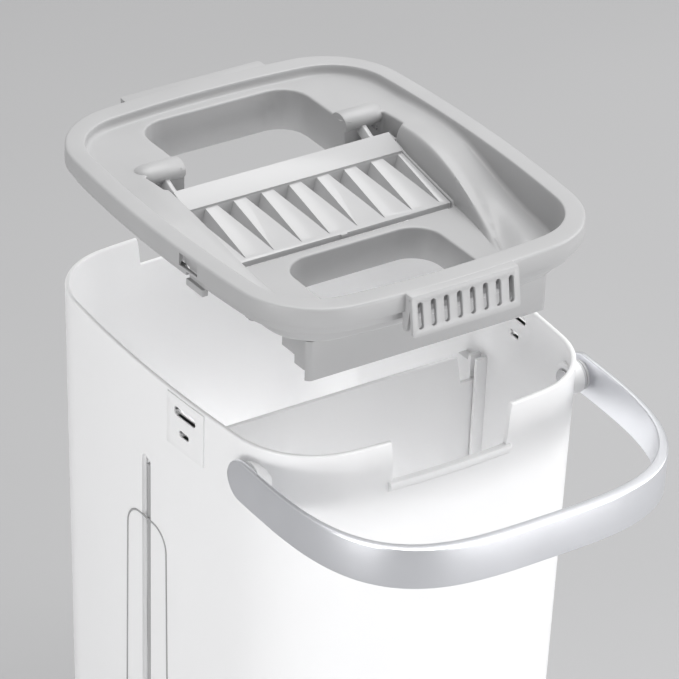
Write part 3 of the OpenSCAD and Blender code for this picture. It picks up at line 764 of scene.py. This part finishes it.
def lid_z(x, y):
    """Height of the lid's upper surface inside the rim."""
    ax = abs(x)
    floor = deck_z(y)
    if y > TROUGH_Y1:
        return floor
    trough = between(TROUGH, y)
    top = between(CHEEK_TOP, y)
    x_in = between(CHEEK_IN, y)
    x_out = between(CHEEK_OUT, y)
    if ax >= x_out:
        fall = between(TROUGH_FALL, y)
        t = (ax - x_out) / fall
        return top + (trough - top) * ease(t)
    if ax >= x_in:
        crown = 0.5 * math.sin(math.pi * (ax - x_in) / max(x_out - x_in, 0.1))
        return top + crown * ease((POCKET_Y1 - y) / 20)
    beside_plate = y > WELL_Y0 - 1
    if beside_plate:
        foot_x = WELL_HALF + 1.2
        foot_z = min(between(PLATE_TOP, y) - 1.0, top)
    else:
        foot_x = x_in - 2.2
        foot_z = floor
    if ax <= foot_x:
        return foot_z if beside_plate and ax > WELL_HALF - 3 and y < POCKET_Y1 else floor
    t = (ax - foot_x) / max(x_in - foot_x, 0.1)
    return foot_z + (top - foot_z) * math.sin(math.pi / 2 * t)


def inside(point, outline):
    """Whether a point lies inside a closed outline."""
    x, y = point
    hit = False
    n = len(outline)
    for i in range(n):
        x0, y0 = outline[i]
        x1, y1 = outline[(i + 1) % n]
        if (y0 > y) != (y1 > y) and x < x0 + (y - y0) * (x1 - x0) / (y1 - y0):
            hit = not hit
    return hit


def spaced(outline, step):
    """Adds points so that no side of an outline is longer than step."""
    out = []
    n = len(outline)
    for i in range(n):
        a = Vector(outline[i])
        b = Vector(outline[(i + 1) % n])
        k = max(1, math.ceil((b - a).length / step))
        out += [tuple(a.lerp(b, j / k)) for j in range(k)]
    return out


def main_hole():
    """Wash opening, the plate's well and the two hinge pockets as one counterclockwise outline."""
    w = WELL_HALF
    right = [(w, WELL_Y0, 2.0), (w, POCKET_Y0, 1.5), (POCKET_HALF, POCKET_Y0, 1.5),
             (POCKET_HALF, POCKET_Y1, 1.5), (WASH_HALF, POCKET_Y1, 0.8), (WASH_HALF, WASH_Y1, OPENING_R)]
    left = [(-x, y, r) for x, y, r in right[::-1]]
    return fillet_corners(right + left)


WALL_TOP = -1.6
FLANGE = 4.6
# band and outer half of the rim: inset and height, from the band's hidden flange up to the rim
BAND_PROFILE = ((FLANGE, -BAND_H - 6), (FLANGE, -BAND_H - 0.8), (FLANGE - 0.2, -BAND_H - 0.2),
                (FLANGE - 0.8, -BAND_H), (0.9, -BAND_H), (0.3, -BAND_H + 0.25), (0, -BAND_H + 0.9),
                (0, -BAND_H / 2), (0, -1.6), (0.15, -0.9), (0.55, -0.35), (1.1, -0.08), (1.8, 0))
# inner edge of the rim: distance from the inner wall and height
RIM_PROFILE = ((-1.3, 0), (-0.8, -0.05), (-0.4, -0.2), (-0.12, -0.55), (0, WALL_TOP))
# edge of an opening: distance out from it and drop below the deck
LIP_PROFILE = ((1.4, 0.0), (0.75, 0.12), (0.3, 0.4), (0.05, 0.9), (0.0, 1.5))


def wall_inset(n):
    """Width of the rim where its outward direction is n."""
    return RIM_W + (RIM_END_W - RIM_W) * abs(n.y) ** 4


def rim_rows(base):
    """Rows round the outline, up the band, over the rim and to the top of its inner wall."""
    def row(insets, z):
        places = [p - n * inset for (p, n), inset in zip(base, insets)]
        return [(q.x, q.y, z) for q in places]

    rows = [row([inset] * len(base), z) for inset, z in BAND_PROFILE]
    walls = [wall_inset(n) for p, n in base]
    return rows + [row([wall + lean for wall in walls], z) for lean, z in RIM_PROFILE]


def inner_wall_rows(base):
    """Steep wall down to a fillet at the deck."""
    fillet = 2.6
    draft = 0.07
    rows = [[] for _ in range(11)]
    for p, n in base:
        wall = wall_inset(n)
        foot = p - n * (wall + fillet + 1.0)
        z_foot = lid_z(foot.x, foot.y)
        depth = max(WALL_TOP - (z_foot + fillet), 0.2)
        for k in range(1, 7):
            t = k / 6
            q = p - n * (wall + draft * depth * t)
            rows[k - 1].append((q.x, q.y, WALL_TOP - depth * t))
        for k in range(1, 6):
            a = math.pi / 2 * k / 5
            q = p - n * (wall + draft * depth + fillet - fillet * math.cos(a))
            z = z_foot + fillet * (1 - math.sin(a)) if k < 5 else lid_z(q.x, q.y)
            rows[k + 5].append((q.x, q.y, z))
    return rows


def opening_rows(hole, bottom):
    """Rounded edge and wall of an opening, down to bottom(x, y)."""
    rings = [(offset_outline(hole, out), drop) for out, drop in LIP_PROFILE]
    heights = [lid_z(x, y) for x, y in rings[0][0]]
    rows = [[(x, y, z - drop) for (x, y), z in zip(ring, heights)] for ring, drop in rings]
    lip_drop = LIP_PROFILE[-1][1]
    for t in (0.25, 0.5, 0.75, 1.0):
        row = []
        for (x, y), z in zip(hole, heights):
            wall_z = z - lip_drop
            row.append((x * (1 - 0.006 * t), y, wall_z + (bottom(x, y) - wall_z) * t))
        rows.append(row)
    return rows


def wash_bottom(x, y):
    return -31.0 if y > 43 and abs(x) < 56 else -29.0


def dry_bottom(*place):
    return -46.0


def lid_skin():
    """Rim, inner wall, deck and opening walls as one thin skin."""
    base = Outline(HALF_W, HALF_L).loop(30, 24, 22)
    bm = bmesh.new()
    verts = add_rows(bm, rim_rows(base) + inner_wall_rows(base))
    loops = [[tuple(v.co[:2]) for v in verts[-1]]]
    dry_hole = rounded(-DRY_HALF, DRY_Y0, DRY_HALF, DRY_Y1, OPENING_R, 12)
    for hole, bottom in ((main_hole(), wash_bottom), (dry_hole, dry_bottom)):
        rows = opening_rows(spaced(hole, 2.5), bottom)
        add_rows(bm, rows)
        loops.append([p[:2] for p in rows[0]])
    deck_sheet(bm, loops)
    bmesh.ops.remove_doubles(bm, verts=bm.verts, dist=0.01)
    bmesh.ops.recalc_face_normals(bm, faces=bm.faces)
    # the skin is open, so its faces may all have been turned down
    up = sum(f.normal.z * f.calc_area() for f in bm.faces)
    if up < 0:
        bmesh.ops.reverse_faces(bm, faces=bm.faces)
    lid = to_object("lid_skin", bm, 38)
    thick = lid.modifiers.new("thickness", "SOLIDIFY")
    thick.thickness = SKIN * MM
    thick.offset = -1.0
    thick.use_even_offset = True
    thick.thickness_clamp = 1.0
    return apply_modifiers(lid, 38)


def deck_guides():
    """Places along the cheeks and beside the plate where the deck bends sharply, with their spacing."""
    curves = ([(CHEEK_IN, k) for k in (-2.2, -1.65, -1.1, -0.55, 0.0, 0.8)]
              + [(CHEEK_OUT, k) for k in (0.0, 2.0, 4.0, 6.0, 8.0)])
    foot_x = WELL_HALF + 1.4
    out = []
    for side in (-1, 1):
        for curve, shift in curves:
            for k in range(96):
                y = -80 + k * 1.5
                out.append(((side * (between(curve, y) + shift), y), 0.5))
        for k in range(44):
            y = WELL_Y0 + k * 1.4
            for t in (0.15, 0.4, 0.65, 0.85):
                out.append(((side * (foot_x + (between(CHEEK_IN, y) - foot_x) * t), y), 0.6))
    return out


def deck_grid():
    """Places of an even grid over the whole deck, with their spacing."""
    step = 2.4
    out = []
    for i in range(-46, 47):
        for j in range(-55, 56):
            out.append(((i * step + (step / 2 if j % 2 else 0), j * step), 1.5))
    return out


def deck_sheet(bm, loops):
    """Fills the space between the loops with a surface that follows lid_z."""
    points = []
    edges = []
    for loop in loops:
        start = len(points)
        points += [Vector(p) for p in loop]
        edges += [(start + i, start + (i + 1) % len(loop)) for i in range(len(loop))]
    outer = loops[0]
    holes = loops[1:]
    near = {}

    def free(p):
        return inside(p, outer) and not any(inside(p, h) for h in holes)

    def cell(x, y):
        return round(x / 2), round(y / 2)

    def crowded(p, gap):
        column, line = cell(*p)
        around = [near.get((column + i, line + j), ()) for i in (-1, 0, 1) for j in (-1, 0, 1)]
        return any((q[0] - p[0]) ** 2 + (q[1] - p[1]) ** 2 < gap * gap for places in around for q in places)

    for p in points:
        near.setdefault(cell(p.x, p.y), []).append(tuple(p))
    for p, gap in deck_guides() + deck_grid():
        if free(p) and not crowded(p, gap):
            near.setdefault(cell(*p), []).append(p)
            points.append(Vector(p))
    verts, _, faces, *_ = delaunay_2d_cdt(points, edges, [], 0, 0.001)
    placed = [bm.verts.new((v.x, v.y, lid_z(v.x, v.y))) for v in verts]
    for face in faces:
        centre = sum((verts[i] for i in face), Vector((0, 0))) / len(face)
        if free(tuple(centre)):
            bm.faces.new([placed[i] for i in face])
    for v in placed:
        if not v.link_faces:
            bm.verts.remove(v)


# hinge hump, flat at the wash opening and rounded at its outer end: x and radius
HUMP = ((52.1, 7.2), (52.5, 7.5), (73.0, 7.5), (76.0, 6.9), (78.4, 5.6), (80.0, 3.8), (80.7, 2.0))
HUMP_FLATNESS = 0.78


def lid_solids():
    """Humps, beam, posts and pocket floors that belong to the same moulding."""
    bm = bmesh.new()
    y, z = HINGE[1], HINGE[2] - RIM_TOP
    turns = [math.radians(9 * k) for k in range(40)]
    for side in (-1, 1):
        add_capped_rows(bm, [[(side * x, y + r * math.cos(a), z + HUMP_FLATNESS * r * math.sin(a))
                              for a in turns] for x, r in HUMP])
        # floor of the hinge pocket
        low, high = sorted((side * 56.0, side * 78.5))
        add_prism(bm, rounded(low, 35.0, high, 58.0, 1.0, 2), -29.0, -27.6)
        # post at the end of the beam
        low, high = sorted((side * 71.0, side * 75.0))
        add_prism(bm, rounded(low, 37.8, high, 44.0, 0.6, 2), -34.0, -14.0)
    add_prism(bm, rounded(-74, 37.8, 74, 42.0, 0.8, 3), -34.0, -28.5)
    return outward_object("lid_solids", bm, 38)


TAB_LEAN_DEG = 8.65
TAB_HEIGHT = 23.0
TAB_TOP = -0.25
TAB_FACE_Y = -HALF_L + 1 - 5
REAR_TAB_HALF = TAB_HALF + 12


def tab_face():
    """Leaning face of the front tab, with its row of grip slots."""
    bm = bmesh.new()
    add_prism(bm, rounded(-TAB_HALF, -TAB_HEIGHT, TAB_HALF, 0.0, 2.0, 4), 0.0, 2.4, "y")
    face = to_object("tab_face", bm)
    tool = bmesh.new()
    for i in range(8):
        x = (i - 3.5) * 8.2
        slot = rounded(x - 1.6, -TAB_HEIGHT + 4, x + 1.6, -TAB_HEIGHT + 19, 1.58, 6)
        add_prism(tool, slot, -2.0, 6.0, "y")
    cut(face, tool, "slot_tool")
    bevel(face, 0.35, 2)
    apply_modifiers(face)
    place = Matrix.Translation(Vector((0, TAB_FACE_Y, TAB_TOP)) * MM)
    face.data.transform(place @ Matrix.Rotation(-math.radians(TAB_LEAN_DEG), 4, "X"))
    return face


def tab_rest():
    """Top and cheeks of the front tab, and the rear tab, level with the rim."""
    y0 = TAB_FACE_Y
    bm = bmesh.new()
    add_prism(bm, rounded(-TAB_HALF, y0, TAB_HALF, y0 + 12, 1.2, 3), -3.6, TAB_TOP + 0.1)
    cheek = [(y0, -0.6), (y0 + 3.2, -22), (y0 + 7, -22), (y0 + 8, -0.6)]
    for side in (-1, 1):
        low, high = sorted((side * (TAB_HALF - 0.1), side * (TAB_HALF - 2.2)))
        add_prism(bm, cheek, low, high, "x")
    y1 = HALF_L - 1
    rear = REAR_TAB_HALF
    add_prism(bm, rounded(-rear, y1 - 9, rear, y1 + 5, 2.0, 4), -3.4, TAB_TOP + 0.15)
    add_prism(bm, rounded(-rear + 1.2, y1 + 2.6, rear - 1.2, y1 + 4.8, 1.0, 3), -12.0, -1.0)
    rest = outward_object("tab_rest", bm)
    bevel(rest, 0.5, 2)
    apply_modifiers(rest)
    return rest


# window for the finger pad, and behind the band the way down for the clip's leg, as (x, z)
CLIP_RECESS = ((100.8, -18.0), (106.3, -18.0), (106.3, -9.3), (113.0, -9.3), (113.0, -2.2), (100.8, -2.2))


def build_lid():
    skin = lid_skin()
    tool = bmesh.new()
    for side in (-1, 1):
        add_prism(tool, [(side * x, z) for x, z in CLIP_RECESS], -47.3, -30.7, "y")
    cut(skin, tool, "recess_tool")
    lid = join("lid_moulding", [skin, lid_solids(), tab_face(), tab_rest()], 38)
    lid.data.transform(Matrix.Translation((0, 0, RIM_TOP * MM)))
    finish_piece(lid, MATERIALS["lid_plastic"], "lid", ("lid_frame",))


# ---- plate ----

PLATE_HALF = 70.0
PLATE_PROFILE = ((39.0, -9.0), (40.0, -10.0), (40.0, -20.0), (25.5, -28.5), (-22.0, -28.2),
                 (-22.0, -25.0), (25.5, -16.0), (25.5, -14.5))
KNUCKLE_R = 4.6
# arm from the bar back to the knuckle: y, height of its top and of its foot
ARM = ((38.5, -15.5, -19.5), (48.0, -13.5, -18.0), (58.6, -8.5, -13.0))


def add_pocket(bm, x):
    """Wedge that is deep under the bar and runs out at the plate's front edge."""
    half = 6.0
    tip = x + 1.8
    top = -10.0
    deep = -25.6
    left, right = x - half, x + half
    y0, y1 = -19.0, 25.4
    back = [(left, y1, top), (right, y1, top), (right - 4.0, y1, deep), (left + 0.8, y1, deep)]
    front = [(tip - 0.3, y0, top - 8), (tip + 0.3, y0, top - 8), (tip + 0.25, y0, -24.7),
             (tip - 0.25, y0, -24.7)]
    a = [bm.verts.new(p) for p in back]
    b = [bm.verts.new(p) for p in front]
    bm.faces.new(a)
    bm.faces.new(b[::-1])
    for i in range(4):
        j = (i + 1) % 4
        bm.faces.new((a[i], b[i], b[j]))
        bm.faces.new((a[i], b[j], a[j]))


def plate_body():
    """Bar and sloping sheet with its row of pockets."""
    bm = bmesh.new()
    add_prism(bm, PLATE_PROFILE, -PLATE_HALF, PLATE_HALF, "x")
    plate = outward_object("plate_body", bm)
    tool = bmesh.new()
    pitch = (2 * PLATE_HALF - 15) / 7
    for i in range(8):
        add_pocket(tool, (i - 3.5) * pitch)
    cut(plate, tool, "pocket_tool")
    bevel(plate, 0.35, 2)
    apply_modifiers(plate)
    return plate


def plate_arms():
    """Knuckles, the arms that narrow upward, and the small block at the front edge."""
    bm = bmesh.new()
    y, z = HINGE[1], HINGE[2] - RIM_TOP
    for side in (-1, 1):
        low, high = sorted((side * 60.0, side * 68.0))
        add_prism(bm, circle(y, z, KNUCKLE_R, 40), low, high, "x")
        add_capped_rows(bm, [[(side * 60.2, place, foot), (side * 67.8, place, foot),
                              (side * 65.2, place, peak), (side * 62.8, place, peak)]
                             for place, peak, foot in ARM])
    add_prism(bm, rounded(-2.0, -22.9, 2.5, -21.0, 0.5, 2), -26.6, -25.1)
    arms = outward_object("plate_arms", bm)
    bevel(arms, 0.4, 2)
    apply_modifiers(arms)
    return arms


def build_plate():
    plate = join("plate_moulding", [plate_body(), plate_arms()], 30)
    plate.data.transform(Matrix.Translation((0, 0, RIM_TOP * MM)))
    finish_piece(plate, MATERIALS["plate_plastic"], "plate", ("wringer_plate",))


# ---- small pieces ----

BODIES = frame["record"]["behaviour"]["bodies"]
BODY_OF = {node: body for body, nodes in BODIES.items() for node in nodes}
SLOT_OF = {part["node"]: part["material_slot"] for part in frame["record"]["subparts"]}


def soften(node, width):
    """Copy of a CAD piece with its edges rounded off."""
    source = frame["nodes"][node]
    bm = bmesh.new()
    bm.from_mesh(source.data)
    bmesh.ops.transform(bm, verts=bm.verts, matrix=source.matrix_world)
    bmesh.ops.remove_doubles(bm, verts=bm.verts, dist=0.001 * MM)
    bmesh.ops.dissolve_limit(bm, angle_limit=math.radians(1), verts=bm.verts, edges=bm.edges)
    bmesh.ops.scale(bm, vec=(1 / MM, 1 / MM, 1 / MM), verts=bm.verts)
    piece = to_object(node + "_soft", bm)
    bevel(piece, width, 2)
    apply_modifiers(piece)
    slot = SLOT_OF[node]
    finish_piece(piece, MATERIALS[slot], BODY_OF[node], (node,))


def build_small_pieces():
    for node in ("wringer_skirt", "divider"):
        soften(node, 0.4)
    for node in ("side_clip", "pivot_bush", "handle_washer", "handle_pin"):
        for side in ("left", "right"):
            soften(node + "_" + side, 0.25)
    for node in ("scraper_bar", "wash_comb", "skirt_screws"):
        soften(node, 0.2)


# ---- stage, light and camera ----

def build_stage():
    bm = bmesh.new()
    size = 9000.0
    rows = [[(-size, y, 0), (size, y, 0)] for y in (-size, size)]
    add_rows(bm, rows, closed=False)
    floor = outward_object("floor", bm)
    material = plastic(
        "floor_pale", (0.43, 0.43, 0.435), (0.4, 0.4, 0.405), 0.6, 3.0, 0.02, tone_mm=900.0)
    floor.data.materials.append(material)


def add_light(name, place, aim, size, power):
    data = bpy.data.lights.new(name, "AREA")
    data.shape = "RECTANGLE"
    data.size, data.size_y = size
    data.energy = power
    obj = bpy.data.objects.new(name, data)
    obj.location = place
    obj.visible_camera = False
    obj.rotation_euler = (Vector(place) - Vector(aim)).to_track_quat("Z", "Y").to_euler()
    bpy.context.scene.collection.objects.link(obj)


def add_inner_glow(y):
    """Soft light inside one half of the milky bucket."""
    data = bpy.data.lights.new("inner_glow", "POINT")
    data.energy = 0.18
    data.shadow_soft_size = 0.04
    glow = bpy.data.objects.new("inner_glow", data)
    glow.location = (0, y, 0.17)
    glow.visible_camera = False
    bpy.context.scene.collection.objects.link(glow)


def build_lights():
    aim = (0, 0, 0.35)
    add_light("overhead", (0.5, 0.2, 2.2), aim, (1.6, 1.6), 32)
    add_light("right_key", (2.2, -0.7, 1.3), aim, (1.6, 1.6), 23)
    add_light("low_front", (0.5, -1.4, 0.32), (0, -0.22, 0.34), (0.9, 0.5), 9)
    add_light("left_fill", (-2.0, -0.6, 0.3), (0, 0, 0.25), (1.2, 0.5), 17)
    for y in (0.055, -0.06):
        add_inner_glow(y)
    world = bpy.data.worlds.new("studio")
    world.use_nodes = True
    world.node_tree.nodes["Background"].inputs["Color"].default_value = (1, 1, 1, 1)
    world.node_tree.nodes["Background"].inputs["Strength"].default_value = 0.55
    bpy.context.scene.world = world


def build_camera():
    """Long lens fitted to the lid's rim in the photo."""
    azimuth = math.radians(-34.502)
    elevation = math.radians(29.844)
    roll = math.radians(2.0)
    sensor = 36.0
    focal = 241.1
    distance = 2446.43
    shift_right = -12.33
    shift_up = 87.72
    right = Vector((math.cos(azimuth), math.sin(azimuth), 0))
    level = math.cos(elevation)
    back = Vector((math.sin(azimuth) * level, -math.cos(azimuth) * level, math.sin(elevation)))
    up = back.cross(right)
    place = back * distance - right * shift_right - up * shift_up + Vector((0, 0, RIM_TOP))
    turned_right = right * math.cos(roll) + up * math.sin(roll)
    turned_up = up * math.cos(roll) - right * math.sin(roll)
    data = bpy.data.cameras.new("camera")
    data.sensor_width = sensor
    data.lens = focal
    data.clip_end = 60
    camera = bpy.data.objects.new("camera", data)
    axes = Matrix((turned_right, turned_up, back)).transposed().to_4x4()
    camera.matrix_world = Matrix.Translation(place * MM) @ axes
    bpy.context.scene.collection.objects.link(camera)
    bpy.context.scene.camera = camera


paint_cad()
build_bucket()
build_groove_lines()
build_handle()
build_lid()
build_plate()
build_small_pieces()
build_stage()
build_lights()
build_camera()
bpy.context.scene.view_settings.view_transform = "Standard"
